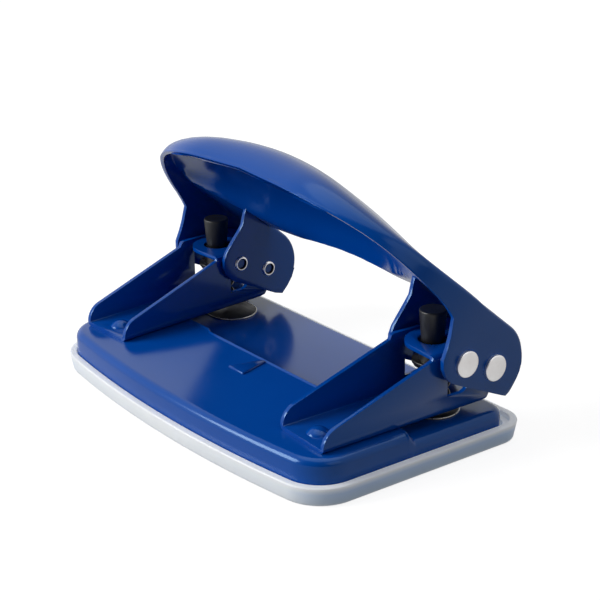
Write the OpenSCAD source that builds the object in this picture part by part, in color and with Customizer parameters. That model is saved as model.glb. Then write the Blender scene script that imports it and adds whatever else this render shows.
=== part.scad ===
// Two-hole paper punch with one long lever over two riveted brackets.
// Millimetres, +Z up. The origin is the middle of the tray's bottom face.
// X runs from bracket to bracket, +Y points at the edge where paper goes in.

/* [Base and tray] */
// Height of the rear deck above the table
deck_top = 10.1; // [9.6:0.1:11]
// How far the paper deck lies below the rear deck
paper_slot = 2.0; // [1.8:0.1:2.6]
// Thickness of the pressed base sheet
base_sheet = 0.9; // [0.8:0.1:1.2]
// Distance from a punch pin's axis to the side of the base
base_side_reach = 9.9; // [9.5:0.1:10.4]
// Angle by which each side of the base runs in towards the rear
base_side_angle = 2.3; // [1.5:0.1:3]
// Front edge of the base skirt
base_front_y = 26.9; // [26:0.1:27.6]
// Rearmost point of the base skirt
base_rear_y = -29.5; // [-30:0.1:-29]
// Radius of the bowed rear edge
rear_bow_radius = 305; // [260:5:400]
// Corner radius at the front of the base
front_corner_radius = 4.2; // [3:0.1:6]
// Corner radius at the rear of the base
rear_corner_radius = 9; // [7:0.5:11]
// Radius of the rounded upper edge of the base
crest_radius = 1.8; // [1.4:0.1:2]
// Where the step down to the paper deck begins
step_top_y = -1.5; // [-2.5:0.1:-1]
// Where the step meets the paper deck and stops the paper
step_foot_y = 0.6; // [0:0.1:1.4]
// Height of the raised centre mark
centre_mark_height = 0.35; // [0.2:0.05:0.5]
// Side length of the centre mark along X
centre_mark_width = 5.8; // [4:0.2:8]
// Height of the tray
tray_height = 4.7; // [4.2:0.1:5]
// Width of the tray ledge beside the base
tray_ledge = 1.9; // [1.5:0.1:2.4]
// Front edge of the tray
tray_front_y = 31.5; // [30.5:0.1:32]
// How much the tray narrows to its foot, each side
tray_draft = 0.8; // [0.3:0.1:1.2]
// Floor thickness of the tray
tray_floor = 1.2; // [0.8:0.1:1.6]
// Gap between the base skirt and the tray rim
skirt_gap = 0.15; // [0.1:0.05:0.3]

/* [Brackets] */
// Distance between the two punched holes
hole_spacing = 80; // [79.5:0.1:80.5]
// Distance of the punch pins in front of the tray's middle
pin_y = 13.9; // [13.5:0.1:14.3]
// Angle by which each bracket turns in towards the rear
bracket_turn = 3.2; // [2.5:0.1:3.5]
// Gap between a bracket's wall and the lever's wing, level with the pin
wing_gap = 1.15; // [1:0.05:1.4]
// Sheet thickness of the brackets
bracket_sheet = 1.0; // [0.8:0.1:1.1]
// Outer radius of the folds along a bracket
bracket_fold = 1.3; // [1.1:0.1:1.6]
// Rear end of a bracket behind its punch pin
bracket_rear = 35; // [34:0.1:36]
// Height of the level wall top over the rear deck
wall_top = 14.75; // [14.6:0.05:15]
// Height of the tab's upper face over the rear deck
tab_top = 14.45; // [14.3:0.05:14.55]
// Radius of the tab's round end
tab_radius = 6.1; // [5.9:0.05:6.2]
// Diameter of the hole in the tab
tab_hole_diameter = 6.6; // [6.5:0.05:6.8]
// Height of the lower edge of the wall window
window_bottom = 4.0; // [3.8:0.05:4.1]
// Height of the upper edge of the wall window
window_top = 13.65; // [13.6:0.05:13.7]
// Distance of the window's rear edge behind the pin
window_rear = 2.1; // [2.1:0.05:2.2]
// Distance of the window's front edge before the pin
window_front = 3.6; // [3.2:0.1:3.8]
// Position of the base rivet behind the pin
base_rivet_back = 30.7; // [30:0.1:31]

/* [Punch pins and springs] */
// Diameter of a punch pin
pin_diameter = 6.0; // [5.8:0.05:6]
// Radial play of the pin in the bracket floor and in the die
pin_play = 0.06; // [0.03:0.01:0.1]
// Lower diameter of the pin cap
cap_bottom_diameter = 5.0; // [4.6:0.1:5.2]
// Upper diameter of the pin cap
cap_top_diameter = 6.2; // [6:0.1:6.3]
// Height of the pin cap
cap_height = 7.5; // [7:0.1:7.6]
// Wire diameter of the return spring
spring_wire = 0.6; // [0.5:0.05:0.65]
// Number of turns of the return spring
spring_turns = 2.75; // [2.5:0.25:3]
// Radius of the spring's wire centre line
spring_radius = 3.8; // [3.75:0.05:3.9]

/* [Lever] */
// Slope of the lever's front face at rest
face_angle = 40; // [39.5:0.1:40.5]
// Sheet thickness of the lever
lever_sheet = 1.0; // [0.9:0.05:1.1]
// Distance from a punch pin's axis to the outer face of the lever's wing
wing_reach = 9.9; // [9.8:0.05:10.1]
// Distance from a punch pin's axis to the inner face of the lever's ear
ear_reach = 9.5; // [9.4:0.05:9.7]
// Height by which the grip bulges over the front face
grip_bulge = 10.5; // [10:0.1:10.6]
// Distance from the end of the bulged grip to the wing's outer face
grip_end_gap = 6; // [5:0.1:7]
// Distance of the grip's crown line behind its front edge
grip_crown = 25.4; // [24:0.1:27]
// Radius that rounds the grip off to the ridge
grip_edge_radius = 11; // [10.8:0.1:12]
// Radius of the arch over the legs, in the front face
arch_radius = 36; // [35:0.5:37]
// Distance of the pivot before the pins
pivot_forward = 9.0; // [8.9:0.05:9.1]
// Height of the pivot over the rear deck
pivot_up = 8.5; // [8.4:0.05:8.6]
// Distance of the drive rivet before the pins
drive_forward = 0.5; // [0.4:0.05:0.55]
// Height of the drive rivet over the rear deck
drive_up = 11.8; // [11.75:0.05:11.85]

/* [Rivets] */
// Head diameter of the lever rivets
rivet_head_diameter = 6.0; // [5.6:0.1:6.2]
// Head thickness of the lever rivets
rivet_head_height = 0.9; // [0.6:0.05:1]
// Shank diameter of the drive rivets
drive_shank_diameter = 3.0; // [2.8:0.05:3]
// Shank diameter of the pivot rivets
pivot_shank_diameter = 3.2; // [3:0.05:3.3]
// Radial play of the pivot rivets in the brackets
pivot_play = 0.06; // [0.03:0.01:0.1]
// Diameter of the rolled inner end of a rivet
rolled_end_diameter = 3.8; // [3.6:0.1:4.2]
// Dome diameter of the base rivets
dome_diameter = 5.8; // [5.2:0.1:6.4]
// Dome height of the base rivets
dome_height = 1.3; // [1:0.1:1.6]

/* [Hidden] */
$fn = 72;
far = 200;
join = 0.05;
paper_top = deck_top - paper_slot;
cut = 10;
half_spacing = hole_spacing / 2;
base_half_width = half_spacing + base_side_reach;
lever_half_length = half_spacing + wing_reach;
ear_face_x = half_spacing - ear_reach;
grip_half_length = lever_half_length - grip_end_gap;
bracket_half_width = wing_reach - lever_sheet - wing_gap;
pivot_y = pin_y + pivot_forward;
pivot_z = deck_top + pivot_up;
drive_y = pin_y + drive_forward;
drive_z = deck_top + drive_up;
blue = [0.05, 0.2, 0.5];
steel = [0.75, 0.75, 0.76];
black = [0.12, 0.12, 0.12];
clear_plastic = [0.88, 0.9, 0.92];

// ---- outline of the base and the tray, grown by g ----
side_slope = tan(base_side_angle);
bow_centre_y = base_rear_y + rear_bow_radius;

function corner_k(g, r) = base_half_width + (g - r) / cos(base_side_angle);
function corner_y(g, r) =
    let (k = corner_k(g, r), s = side_slope, q = rear_bow_radius + g - r,
        b = k * s - bow_centre_y, c = k * k + bow_centre_y * bow_centre_y - q * q)
    (-b - sqrt(b * b - (1 + s * s) * c)) / (1 + s * s);

outline_blend = 0.02;
module sheet_outline(g, front) {
    r = rear_corner_radius + g;
    f = front_corner_radius + g;
    ry = corner_y(g, r);
    rx = corner_k(g, r) + side_slope * ry;
    fy = front + g - f;
    fx = corner_k(g, f) + side_slope * fy;
    rear_side = (r - outline_blend) * [cos(base_side_angle), -sin(base_side_angle)];
    front_side = (f - outline_blend) * [cos(base_side_angle), -sin(base_side_angle)];
    bow = sqrt(rx * rx + (ry - bow_centre_y) * (ry - bow_centre_y));
    ray = 2 * r / bow * [rx, ry - bow_centre_y];
    polygon([[rx, ry] + rear_side, [fx, fy] + front_side, [fx, fy + f - outline_blend],
        [-fx, fy + f - outline_blend], [-fx - front_side[0], fy + front_side[1]],
        [-rx - rear_side[0], ry + rear_side[1]], [-rx, ry], [rx, ry]]);
    for (side = [-1, 1]) {
        translate([side * rx, ry]) circle(r = r, $fn = 96);
        translate([side * fx, fy]) circle(r = f, $fn = 72);
    }
    intersection() {
        translate([0, bow_centre_y]) circle(r = rear_bow_radius + g - outline_blend, $fn = 720);
        polygon([[rx, ry + r], [-rx, ry + r], [-rx, ry], [-rx - ray[0], ry + ray[1]],
            [rx + ray[0], ry + ray[1]], [rx, ry]]);
    }
}

// ---- chip tray ----
tray_layers = 7;
tray_foot_round = 1.0;
tray_seat_depth = 1.2;
tray_seat = tray_height - tray_seat_depth;
tray_grow_front = tray_front_y - tray_ledge;
tray_wall = 1.3;
rim_step_depth = 0.4;
rim_step_length = 36;

function tray_wall_grow(z) =
    let (r = tray_foot_round, foot = z < r ? r - sqrt(r * r - (r - z) * (r - z)) : 0)
    tray_ledge - tray_draft * (1 - z / tray_height) - foot;

module chip_tray() {
    layer = tray_height / tray_layers;
    color(clear_plastic) difference() {
        for (i = [1 : tray_layers]) {
            translate([0, 0, max(0, (i - 1) * layer - join)]) linear_extrude(i > 1 ? layer + join : layer)
                sheet_outline(tray_wall_grow(i * layer), tray_grow_front);
        }
        translate([0, 0, tray_floor])
            linear_extrude(tray_height) sheet_outline(-tray_wall, base_front_y);
        translate([0, 0, tray_seat]) linear_extrude(tray_height) sheet_outline(skirt_gap, base_front_y);
        translate([rim_step_length / 2, base_rear_y - tray_ledge, tray_height])
            cube([rim_step_length, 2 * tray_ledge, 2 * rim_step_depth], center = true);
    }
}

// ---- base plate ----
crest_layers = 5;
skirt_bottom = tray_seat;
module crowned_block(top, inset, front) {
    r = crest_radius - inset;
    translate([0, 0, skirt_bottom])
        linear_extrude(top - r - skirt_bottom) sheet_outline(-inset, front);
    for (i = [1 : crest_layers]) {
        a = 90 * i / crest_layers;
        b = 90 * (i - 1) / crest_layers;
        m = (a + b) / 2;
        translate([0, 0, top - r + r * sin(b) - join])
            linear_extrude(r * (sin(a) - sin(b)) + join) sheet_outline(-inset - r * (1 - cos(m)), front);
    }
}

step_bevel = 0.5;
step_bevel_drop = 0.15;
module step_side(inset) {
    d = inset;
    polygon([[-far, 0], [-far, deck_top - d], [step_top_y - d / 2, deck_top - d],
        [step_top_y + step_bevel - d, deck_top - step_bevel_drop - d],
        [step_foot_y - step_bevel - d, paper_top + step_bevel_drop - d],
        [step_foot_y - d / 2, paper_top - d], [far, paper_top - d], [far, 0]]);
}

module step_mask(inset) {
    translate([-far, 0, 0]) rotate([90, 0, 90]) linear_extrude(2 * far) step_side(inset);
}

module base_skin(inset) {
    intersection() {
        crowned_block(deck_top - inset, inset, base_front_y);
        step_mask(inset);
    }
    intersection() {
        crowned_block(paper_top - inset, inset, base_front_y);
        translate([-far, step_top_y - inset, 0]) cube([2 * far, far, far]);
    }
}

centre_mark_length = 8.2;
centre_mark_tip = 1.2;
centre_mark_gap = 0.4;
module centre_mark() {
    w = centre_mark_width / 2;
    t = centre_mark_tip / 2;
    tip = centre_mark_length - centre_mark_gap;
    translate([0, step_top_y - centre_mark_length, deck_top - join])
        linear_extrude(centre_mark_height + join) polygon([[-w, 0], [w, 0], [t, tip], [-t, tip]]);
}

die_radius = 6.3;
die_reach = 5.8;
module die_shape(grow) {
    for (x = [0, -die_reach]) {
        translate([x, 0]) circle(r = die_radius + grow);
    }
    translate([-die_reach, -die_radius - grow]) square([die_reach, 2 * (die_radius + grow)]);
}

module at_pin(side) {
    translate([side * half_spacing, pin_y, 0]) rotate([0, 0, -side * bracket_turn]) children();
}

module at_die(side) {
    translate([side * half_spacing, pin_y, 0]) mirror([side < 0 ? 1 : 0, 0, 0]) children();
}

rivet_hole_play = 0.02;
base_rivet_shank = 3.2;
module base_plate() {
    color(blue) difference() {
        union() {
            difference() {
                base_skin(0);
                base_skin(base_sheet);
                translate([0, 0, skirt_bottom - 1])
                    linear_extrude(1 + join) sheet_outline(-base_sheet, base_front_y);
            }
            centre_mark();
        }
        for (side = [-1, 1]) {
            at_die(side) translate([0, 0, paper_top - cut / 2])
                linear_extrude(cut) die_shape(rivet_hole_play);
            at_pin(side) translate([0, -base_rivet_back, deck_top])
                cylinder(d = base_rivet_shank + 2 * rivet_hole_play, h = cut, center = true);
        }
    }
}

// ---- die plates ----
die_rise = 0.25;
die_flange = 1.0;
die_flange_thickness = 0.8;
module die_plate(side) {
    color(steel) difference() {
        at_die(side) {
            translate([0, 0, paper_top - base_sheet - join])
                linear_extrude(base_sheet + join + die_rise) die_shape(0);
            translate([0, 0, paper_top - base_sheet - die_flange_thickness])
                linear_extrude(die_flange_thickness) die_shape(die_flange);
        }
        translate([side * half_spacing, pin_y, paper_top])
            cylinder(d = pin_diameter + 2 * pin_play, h = cut, center = true);
    }
}

module die_plate_left() { die_plate(-1); }

module die_plate_right() { die_plate(1); }

// ---- brackets ----
wall_rear_radius = 4.6;
wall_rear_z = 0.8;
wall_rise_start = 6.4;
wall_rise_z = 13.45;
wall_front_radius = 5.6;
wall_foot_front = 7.0;
wall_toe_front = 9.8;
wall_toe_z = 2.0;
window_corner = 2.0;
wall_slope_turn = 108.3;
wall_foot_bevel = 0.7;
wall_rise_bevel = [[0.5, -0.3], [1.1, 0]];

module wall_side() {
    ry = -bracket_rear + wall_rear_radius;
    dy = wall_rear_radius * cos(wall_slope_turn);
    dz = wall_rear_radius * sin(wall_slope_turn);
    polygon([[-bracket_rear, 0], [-bracket_rear, wall_rear_z], [ry, wall_rear_z],
        [ry + dy, wall_rear_z + dz],
        [-wall_rise_start, wall_rise_z], [-wall_rise_start, wall_top] + wall_rise_bevel[0],
        [-wall_rise_start, wall_top] + wall_rise_bevel[1], [pivot_forward, wall_top],
        [pivot_forward + wall_front_radius, pivot_up], [wall_toe_front, wall_toe_z],
        [wall_toe_front - wall_foot_bevel, wall_foot_bevel], [wall_foot_front, 0]]);
    translate([ry, wall_rear_z]) circle(r = wall_rear_radius);
    intersection() {
        translate([pivot_forward, pivot_up]) circle(r = wall_top - pivot_up);
        translate([pivot_forward, pivot_up]) square(far);
    }
}

module window_side() {
    r = window_corner;
    polygon([[-window_rear, window_bottom], [-window_rear, window_top], [window_front, window_top],
        [window_front, window_bottom + r], [window_front - r, window_bottom]]);
    translate([window_front - r, window_bottom + r]) circle(r = r);
}

module channel_section(inset) {
    w = bracket_half_width - inset;
    r = bracket_fold - inset;
    translate([-w, deck_top + inset + r]) square([2 * w, far]);
    translate([-w + r, deck_top + inset]) square([2 * (w - r), far]);
    for (x = [-1, 1]) {
        translate([x * (w - r), deck_top + inset + r]) circle(r = r);
    }
}

module channel(inset) {
    translate([0, far, 0]) rotate([90, 0, 0]) linear_extrude(2 * far) channel_section(inset);
}

tab_zone_rear = -6.1;
module tab_bend_cut() {
    r = bracket_fold;
    w = bracket_half_width;
    translate([w - bracket_sheet - join, tab_zone_rear, deck_top + tab_top])
        cube([2 * bracket_sheet, far, far]);
    translate([w - r, tab_zone_rear, deck_top + tab_top - r]) difference() {
        cube([2 * r, 2 * tab_radius, 2 * r]);
        rotate([-90, 0, 0]) cylinder(r = r, h = 5 * tab_radius, center = true);
    }
}

module tab() {
    translate([0, 0, deck_top + tab_top - bracket_sheet]) linear_extrude(bracket_sheet) {
        circle(r = tab_radius);
        translate([0, tab_zone_rear])
            square([bracket_half_width - bracket_sheet / 2, 2 * tab_radius]);
    }
}

module wall_windows() {
    w = bracket_half_width;
    for (x = [-w - join, w - bracket_sheet - join]) {
        translate([x, 0, deck_top]) rotate([90, 0, 90])
            linear_extrude(bracket_sheet + 2 * join) window_side();
    }
}

module bracket_body() {
    difference() {
        union() {
            difference() {
                intersection() {
                    channel(0);
                    translate([-far, 0, deck_top])
                        rotate([90, 0, 90]) linear_extrude(2 * far) wall_side();
                }
                channel(bracket_sheet);
            }
            tab();
        }
        tab_bend_cut();
        wall_windows();
        translate([0, 0, deck_top - 1]) cylinder(d = pin_diameter + 2 * pin_play, h = 3);
        translate([0, 0, deck_top + tab_top - 3]) cylinder(d = tab_hole_diameter, h = 6);
        translate([0, -base_rivet_back, deck_top - 1])
            cylinder(d = base_rivet_shank + 2 * rivet_hole_play, h = 3);
    }
}

module along_x(side, y, z) {
    translate([side * half_spacing, y, z]) rotate([0, 90, 0]) children();
}

module bracket(side) {
    color(blue) difference() {
        at_pin(side) bracket_body();
        along_x(side, pivot_y, pivot_z)
            cylinder(d = pivot_shank_diameter + 2 * pivot_play, h = 4 * bracket_half_width, center = true);
    }
}

module bracket_left() { bracket(-1); }

module bracket_right() { bracket(1); }

// ---- rivets that hold the brackets to the base ----
clinch_diameter = 4.8;
clinch_height = 0.6;
module base_rivet(side) {
    sphere_radius = (pow(dome_diameter / 2, 2) + pow(dome_height, 2)) / (2 * dome_height);
    z = deck_top + bracket_sheet;
    color(blue) at_pin(side) translate([0, -base_rivet_back, 0]) {
        intersection() {
            translate([0, 0, z + dome_height - sphere_radius]) sphere(r = sphere_radius);
            translate([0, 0, z]) cylinder(d = 2 * dome_diameter, h = 2 * dome_height);
        }
        translate([0, 0, deck_top - base_sheet - clinch_height / 2])
            cylinder(d = base_rivet_shank, h = base_sheet + bracket_sheet + clinch_height);
        translate([0, 0, deck_top - base_sheet - clinch_height])
            cylinder(d = clinch_diameter, h = clinch_height);
    }
}

module base_rivet_left() { base_rivet(-1); }

module base_rivet_right() { base_rivet(1); }

// ---- punch pins, caps, washers and springs ----
pin_rest_gap = 0.2;
pin_stand = 14.0;
pin_top = deck_top + pin_stand;
stub_diameter = 3.4;
stub_height = 4.5;
slot_play = 0.3;
drive_arm = sqrt(pow(pivot_forward - drive_forward, 2) + pow(drive_up - pivot_up, 2));
drive_back = pivot_y - drive_arm;
slot_height = drive_shank_diameter + 2 * slot_play;
notch_width = 4.4;
notch_depth = 1.0;
washer_thickness = 0.8;
washer_diameter = 9.0;
washer_bottom = drive_z - slot_height / 2 - washer_thickness;

module punch_pin(side) {
    tip = deck_top + pin_rest_gap;
    color(steel) difference() {
        translate([side * half_spacing, pin_y, 0]) union() {
            translate([0, 0, tip]) cylinder(d = pin_diameter, h = pin_top - tip);
            translate([0, 0, pin_top - join]) cylinder(d = stub_diameter, h = stub_height + join);
        }
        for (y = [drive_y, drive_back]) {
            along_x(side, y, drive_z)
                cylinder(d = slot_height, h = 2 * pin_diameter, center = true);
        }
        translate([side * half_spacing - pin_diameter, drive_back, drive_z - slot_height / 2])
            cube([2 * pin_diameter, drive_y - drive_back, slot_height]);
        translate([side * half_spacing - pin_diameter, pin_y, tip]) rotate([90, 0, 90])
            linear_extrude(2 * pin_diameter)
                polygon([[-notch_width / 2, -join], [0, notch_depth], [notch_width / 2, -join]]);
    }
}

module punch_pin_left() { punch_pin(-1); }

module punch_pin_right() { punch_pin(1); }

module pin_cap(side) {
    color(black) translate([side * half_spacing, pin_y, pin_top]) difference() {
        cylinder(d1 = cap_bottom_diameter, d2 = cap_top_diameter, h = cap_height);
        translate([0, 0, -join]) cylinder(d = stub_diameter, h = stub_height + join);
    }
}

module pin_cap_left() { pin_cap(-1); }

module pin_cap_right() { pin_cap(1); }

module spring_washer(side) {
    color(steel) translate([side * half_spacing, pin_y, washer_bottom]) difference() {
        cylinder(d = washer_diameter, h = washer_thickness);
        cylinder(d = pin_diameter, h = cut, center = true);
    }
}

module spring_washer_left() { spring_washer(-1); }

module spring_washer_right() { spring_washer(1); }

spring_foot = deck_top + bracket_sheet;
spring_rings = 8;
spring_sides = 6;
spring_steps = round(spring_turns * spring_rings);
spring_rise = washer_bottom - spring_foot - spring_wire;
spring_pitch = spring_rise / spring_turns;
echo("least gap of the spring to itself, mm", spring_pitch - spring_wire);

function spring_point(i, k) =
    let (a = 360 * i / spring_rings, b = 30 + 360 * k / spring_sides,
        r = spring_radius + spring_wire / 2 * cos(b))
    [r * cos(a), r * sin(a), spring_foot + spring_wire / 2 * (1 + sin(b)) + spring_rise * i / spring_steps];

module return_spring(side) {
    n = spring_sides;
    m = spring_steps;
    color(steel) translate([side * half_spacing, pin_y, 0]) polyhedron(
        points = [for (i = [0 : m]) for (k = [0 : n - 1]) spring_point(i, k)],
        faces = concat(
            [[for (k = [0 : n - 1]) k]],
            [for (i = [0 : m - 1]) for (k = [0 : n - 1])
                [i * n + k, (i + 1) * n + k, (i + 1) * n + (k + 1) % n, i * n + (k + 1) % n]],
            [[for (k = [n - 1 : -1 : 0]) m * n + k]]));
}

module return_spring_left() { return_spring(-1); }

module return_spring_right() { return_spring(1); }

// ---- lever, drawn in the plane of its front face ----
face_forward = 13.8;
face_up = 17.0;
face_y = pin_y + face_forward;
face_z = deck_top + face_up;
arch_side_x = lever_half_length - arch_radius;
arch_side_v = -11;
front_edge_v = -5.7;
nose_radius = 7;
nose_v = 1.6;
nose_end_w = -5.5;
leg_depth = 17.8;
toe = [8.9, -13.4];
toe_bevel = [0.8, 0.6];
heel = [-8.5, -12.0];
heel_radius = 5.8;
ear_heel = [-7.0, -11.8];
ear_heel_radius = 5.5;
heel_rise = [1.6, 0.23];
ear_root_v = -14.4;
ear_root_height = 4;
ear_relief = [1.2, -2.2];
flange_gain = 78;
flange_start = 8;
flange_lift = 0.9;
flange_steps = 9;
flange_run = [-42, -15];
bulge_v = front_edge_v - grip_crown;
barrel_radius = (pow(grip_crown, 2) + pow(grip_bulge, 2)) / (2 * grip_bulge);
barrel_arc = (pow(grip_half_length, 2) + pow(grip_bulge, 2)) / (2 * grip_bulge);

module at_face() {
    translate([0, face_y, face_z]) rotate([-face_angle, 0, 0]) children();
}

module arch_outline(inset) {
    for (x = [-1, 1]) {
        translate([x * arch_side_x, arch_side_v]) circle(r = arch_radius - inset, $fn = 180);
    }
    translate([-arch_side_x, arch_side_v - arch_radius + inset])
        square([2 * arch_side_x, arch_radius]);
    translate([-lever_half_length + inset, arch_side_v])
        square([2 * (lever_half_length - inset), far]);
}

module nose_side(inset) {
    r = nose_radius - inset;
    translate([nose_v, -nose_radius]) circle(r = r);
    translate([nose_v, -far]) square([r, far - nose_radius]);
    translate([-far, -far]) square([far + nose_v, far - inset]);
}

// depth of the outer flange under the front face, at v along the face
function flange_depth(v) = flange_gain / (-v - flange_start) - flange_lift;

function side_foot(middle, radius) = [middle + [-radius, 0], middle,
    middle + [heel_rise[0], heel_rise[1] - radius], toe + [-toe_bevel[0], toe_bevel[1] / -2],
    toe + [0, toe_bevel[1]], [far, toe[1] + toe_bevel[1]]];

module wing_side() {
    intersection() {
        nose_side(0);
        union() {
            polygon(concat([[far, 0], [-far, 0], [-far, -flange_depth(flange_run[0])]],
                [for (i = [0 : flange_steps])
                    let (v = flange_run[0] + (flange_run[1] - flange_run[0]) * i / flange_steps)
                    [v, -flange_depth(v)]],
                side_foot(heel, heel_radius)));
            translate(heel) circle(r = heel_radius);
        }
    }
}

module ear_side() {
    intersection() {
        union() {
            nose_side(0);
            translate([ear_root_v, -join]) square([front_edge_v - ear_root_v, ear_root_height]);
        }
        union() {
            polygon(concat([[far, 0], [front_edge_v, 0], [front_edge_v, far], [ear_root_v, far],
                [ear_root_v, -lever_sheet], [ear_root_v + ear_relief[0], ear_relief[1]],
                [ear_heel[0] - ear_heel_radius, ear_relief[1] - ear_relief[0]]],
                side_foot(ear_heel, ear_heel_radius)));
            translate(ear_heel) circle(r = ear_heel_radius);
        }
    }
}

module side_slab(x, thickness) {
    translate([x, 0, 0]) rotate([90, 0, 90]) linear_extrude(thickness) children();
}

module barrel(inset) {
    translate([0, bulge_v, grip_bulge - barrel_radius]) rotate([0, 90, 0])
        rotate_extrude($fn = 180) intersection() {
            translate([barrel_radius - barrel_arc, 0]) circle(r = barrel_arc - inset, $fn = 180);
            translate([0, -far]) square([far, 2 * far]);
        }
}

// half section of the grip's rounded rim, out from the arch's centre
module rim_side(inset) {
    r = grip_edge_radius - inset;
    translate([0, -2 * lever_sheet]) square([arch_radius - inset, 2 * lever_sheet]);
    square([arch_radius - grip_edge_radius, r]);
    intersection() {
        translate([arch_radius - grip_edge_radius, 0]) circle(r = r, $fn = 72);
        square(far);
    }
}

// the spindle that gives the bulge, rounded off to the arch's outline
module grip_solid(inset) {
    intersection() {
        barrel(inset);
        union() {
            for (x = [-1, 1]) {
                translate([x * arch_side_x, arch_side_v, 0]) rotate_extrude($fn = 180) rim_side(inset);
            }
            translate([-arch_side_x, arch_side_v, 0]) rotate([90, 0, 90])
                linear_extrude(2 * arch_side_x) mirror([1, 0, 0]) rim_side(inset);
        }
    }
}

module pan_solid(inset) {
    intersection() {
        translate([0, 0, -leg_depth]) linear_extrude(leg_depth - inset) arch_outline(inset);
        side_slab(-far, 2 * far) nose_side(inset);
    }
}

module leg_front_gap() {
    translate([-lever_half_length + lever_sheet, 0, -far])
        cube([2 * (lever_half_length - lever_sheet), far, far + nose_end_w]);
}

module ear(x) {
    intersection() {
        side_slab(x, lever_sheet) ear_side();
        union() {
            pan_solid(0);
            grip_solid(0);
        }
    }
}

module lever_skin() {
    difference() {
        union() {
            pan_solid(0);
            grip_solid(0);
        }
        pan_solid(lever_sheet);
        grip_solid(lever_sheet);
        leg_front_gap();
    }
}

module lever() {
    color(blue) difference() {
        at_face() union() {
            difference() {
                intersection() {
                    lever_skin();
                    union() {
                        side_slab(-far, 2 * far) wing_side();
                        translate([-far, -far, -join]) cube([2 * far, 2 * far, far]);
                    }
                }
                translate([-ear_face_x, front_edge_v, -far]) cube([2 * ear_face_x, far, 2 * far]);
            }
            ear(ear_face_x);
            ear(-ear_face_x - lever_sheet);
        }
        along_x(0, pivot_y, pivot_z)
            cylinder(d = pivot_shank_diameter + 2 * rivet_hole_play, h = far, center = true);
        along_x(0, drive_y, drive_z)
            cylinder(d = drive_shank_diameter + 2 * rivet_hole_play, h = far, center = true);
    }
}

// ---- rivets of the lever ----
head_edge = 0.25;
rolled_end_height = 0.5;
rolled_bore_diameter = 2.2;
rolled_bore_depth = 3;
rolled_end_bevel = 0.4;
module lever_rivet(side, y, z, shank) {
    head_x = lever_half_length;
    end_x = ear_face_x - rolled_end_height;
    color(steel) translate([0, y, z]) rotate([0, side * 90, 0]) difference() {
        union() {
            translate([0, 0, ear_face_x - rolled_end_height]) cylinder(d = shank, h = head_x - end_x);
            translate([0, 0, head_x]) cylinder(d = rivet_head_diameter, h = rivet_head_height - head_edge);
            translate([0, 0, head_x + rivet_head_height - head_edge])
                cylinder(d1 = rivet_head_diameter, d2 = rivet_head_diameter - 2 * head_edge, h = head_edge);
            translate([0, 0, end_x]) cylinder(d1 = rolled_end_diameter - rolled_end_bevel,
                d2 = rolled_end_diameter, h = rolled_end_height);
        }
        translate([0, 0, end_x - 1]) cylinder(d = rolled_bore_diameter, h = rolled_bore_depth + 1);
    }
}

module pivot_rivet_left() { lever_rivet(-1, pivot_y, pivot_z, pivot_shank_diameter); }

module pivot_rivet_right() { lever_rivet(1, pivot_y, pivot_z, pivot_shank_diameter); }

module drive_rivet_left() { lever_rivet(-1, drive_y, drive_z, drive_shank_diameter); }

module drive_rivet_right() { lever_rivet(1, drive_y, drive_z, drive_shank_diameter); }

chip_tray();
base_plate();
die_plate_left();
die_plate_right();
bracket_left();
bracket_right();
base_rivet_left();
base_rivet_right();
punch_pin_left();
punch_pin_right();
pin_cap_left();
pin_cap_right();
spring_washer_left();
spring_washer_right();
return_spring_left();
return_spring_right();
lever();
pivot_rivet_left();
pivot_rivet_right();
drive_rivet_left();
drive_rivet_right();
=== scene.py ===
"""Looks of a two-hole paper punch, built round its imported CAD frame."""

import math

import bmesh
import bpy
from mathutils import Matrix, Vector
from mathutils.geometry import delaunay_2d_cdt


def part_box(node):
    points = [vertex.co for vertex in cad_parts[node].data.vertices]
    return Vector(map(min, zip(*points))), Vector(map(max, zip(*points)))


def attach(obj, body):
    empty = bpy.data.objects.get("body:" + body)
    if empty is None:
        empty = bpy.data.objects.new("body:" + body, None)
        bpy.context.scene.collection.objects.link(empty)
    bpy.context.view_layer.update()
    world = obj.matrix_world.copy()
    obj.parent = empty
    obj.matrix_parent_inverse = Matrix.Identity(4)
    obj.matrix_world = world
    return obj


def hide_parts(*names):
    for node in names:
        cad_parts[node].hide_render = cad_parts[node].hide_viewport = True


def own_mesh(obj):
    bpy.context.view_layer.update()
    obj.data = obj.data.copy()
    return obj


bl_info = {
    "name": "Two-Hole Paper Punch",
    "version": (1, 0, 0),
    "blender": (4, 5, 0),
    "location": "3D View > Sidebar > Punch",
    "description": "Builds the visible pieces of a sheet-metal paper punch",
    "category": "Add Mesh",
}

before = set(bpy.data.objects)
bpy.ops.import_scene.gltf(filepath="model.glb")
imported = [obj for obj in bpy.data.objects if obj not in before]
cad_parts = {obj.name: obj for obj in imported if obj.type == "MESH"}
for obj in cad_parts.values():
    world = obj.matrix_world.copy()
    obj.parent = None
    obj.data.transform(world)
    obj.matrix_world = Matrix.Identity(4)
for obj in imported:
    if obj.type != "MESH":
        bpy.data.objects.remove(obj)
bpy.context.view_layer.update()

MM = 0.001
SIDES = {"left": -1, "right": 1}
HOLE_X, HOLE_Y = 0.04, 0.0139  # middle of the right punched hole
DIE_REACH = 0.0058  # how far a die plate runs on from its hole towards the middle
DIE_RADIUS = 0.0062


# ---- settings


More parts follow.
